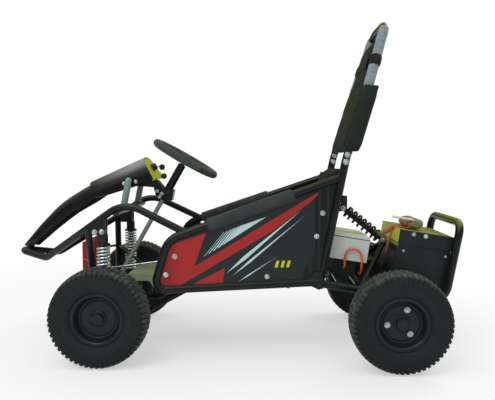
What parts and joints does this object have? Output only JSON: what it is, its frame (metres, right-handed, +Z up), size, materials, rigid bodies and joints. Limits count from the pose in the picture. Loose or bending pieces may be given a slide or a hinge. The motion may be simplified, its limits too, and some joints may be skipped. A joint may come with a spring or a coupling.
{
  "type": "dune buggy",
  "caption": "Child-size electric dune buggy: open tube frame, roll hoop seat, side panels, coil-sprung front axle and knobbly tyres.",
  "frame": {"origin": "middle of the overall box, on the floor under the tyres", "axes": "+X to the rear, +Y to the driver's right, +Z up"},
  "size_m": [1.6327, 0.76, 1.179],
  "materials": {
    "black_tube": "gloss",
    "red_paint": "satin",
    "floor_paint": "satin",
    "zinc_steel": "satin",
    "axle_steel": "satin",
    "foam": "matt",
    "grip_foam": "matt",
    "panel_print": "satin",
    "seat_fabric": "matt",
    "sleeve_fabric": "matt",
    "black_plastic": "matt",
    "grey_plastic": "matt",
    "motor_shell": "satin",
    "orange_cable": "satin",
    "olive_fabric": "matt",
    "silver_spring": "gloss",
    "black_spring": "gloss",
    "column_paint": "satin",
    "dash_paint": "satin",
    "fairing_plastic": "gloss",
    "dash_yellow": "gloss",
    "tyre_rubber": "matt",
    "rim_paint": "satin"
  },
  "bodies": {
    "chassis": {"roll_hoop": "black_tube", "hoop_legs": "black_tube", "side_frames": "black_tube", "cross_members": "black_tube", "nose_rails": "black_tube", "front_bumper": "black_tube", "front_subframe": "black_tube", "front_guard": "red_paint", "floor_pan": "floor_paint", "pedals": "black_tube", "brake_rod": "zinc_steel", "arm_rests": "foam", "side_panels": "panel_print", "seat_cushion": "seat_fabric", "seat_back_lower": "seat_fabric", "hoop_sleeves": "sleeve_fabric", "seat_back_upper": "seat_fabric", "rear_frame": "black_tube", "rear_box": "black_plastic", "box_lid": "black_plastic", "pale_box": "grey_plastic", "controller": "black_plastic", "motor": "motor_shell", "power_cable": "orange_cable", "tool_roll": "olive_fabric", "axle_bearings": "black_tube", "front_arms": "black_tube", "front_shocks": "black_plastic", "front_springs": "silver_spring", "rear_shock": "black_plastic", "rear_spring": "black_spring", "dash_frame": "dash_paint", "column_bracket": "black_tube", "hood": "fairing_plastic", "dash_face": "dash_yellow", "beak": "fairing_plastic"},
    "steering": {"steering_grip": "grip_foam", "steering_column": "column_paint"},
    "knuckle_left": {"knuckle_left": "axle_steel"},
    "knuckle_right": {"knuckle_right": "axle_steel"},
    "tie_rod_left": {"tie_rod_left": "zinc_steel"},
    "tie_rod_right": {"tie_rod_right": "zinc_steel"},
    "front_wheel_left": {"front_tyre_left": "tyre_rubber", "front_rim_left": "rim_paint"},
    "front_wheel_right": {"front_tyre_right": "tyre_rubber", "front_rim_right": "rim_paint"},
    "rear_axle": {"rear_axle": "axle_steel", "axle_discs": "zinc_steel", "rear_tyre_left": "tyre_rubber", "rear_tyre_right": "tyre_rubber", "rear_rim_left": "rim_paint", "rear_rim_right": "rim_paint"}
  },
  "joints": [
    {"name": "steering_turn", "type": "hinge", "parent": "chassis", "child": "steering", "pos_m": [-0.182, 0, 0.69], "axis": [0.4955, 0, 0.8686], "range_deg": [-48, 48]},
    {"name": "knuckle_left_turn", "type": "hinge", "parent": "chassis", "child": "knuckle_left", "pos_m": [-0.4305, -0.236, 0.165], "axis": [0, 0, 1], "range_deg": [-21.2, 21.2]},
    {"name": "tie_rod_left_swing", "type": "hinge", "parent": "knuckle_left", "child": "tie_rod_left", "pos_m": [-0.3685, -0.233, 0.1906], "axis": [0, 0, 1], "range_deg": [-21.2, 21.2]},
    {"name": "front_wheel_left_spin", "type": "hinge", "parent": "knuckle_left", "child": "front_wheel_left", "pos_m": [-0.4305, -0.2995, 0.165], "axis": [0, -1, 0], "continuous": true},
    {"name": "knuckle_right_turn", "type": "hinge", "parent": "chassis", "child": "knuckle_right", "pos_m": [-0.4305, 0.236, 0.165], "axis": [0, 0, 1], "range_deg": [-21.2, 21.2]},
    {"name": "tie_rod_right_swing", "type": "hinge", "parent": "knuckle_right", "child": "tie_rod_right", "pos_m": [-0.3685, 0.233, 0.1906], "axis": [0, 0, 1], "range_deg": [-21.2, 21.2]},
    {"name": "front_wheel_right_spin", "type": "hinge", "parent": "knuckle_right", "child": "front_wheel_right", "pos_m": [-0.4305, 0.2995, 0.165], "axis": [0, -1, 0], "continuous": true},
    {"name": "rear_axle_spin", "type": "hinge", "parent": "chassis", "child": "rear_axle", "pos_m": [0.5565, 0, 0.165], "axis": [0, -1, 0], "continuous": true}
  ],
  "couplings": [
    {"joint": "knuckle_left_turn", "follows": "steering_turn", "ratio": 0.4375},
    {"joint": "tie_rod_left_swing", "follows": "steering_turn", "ratio": -0.4375},
    {"joint": "knuckle_right_turn", "follows": "steering_turn", "ratio": 0.4375},
    {"joint": "tie_rod_right_swing", "follows": "steering_turn", "ratio": -0.4375}
  ]
}
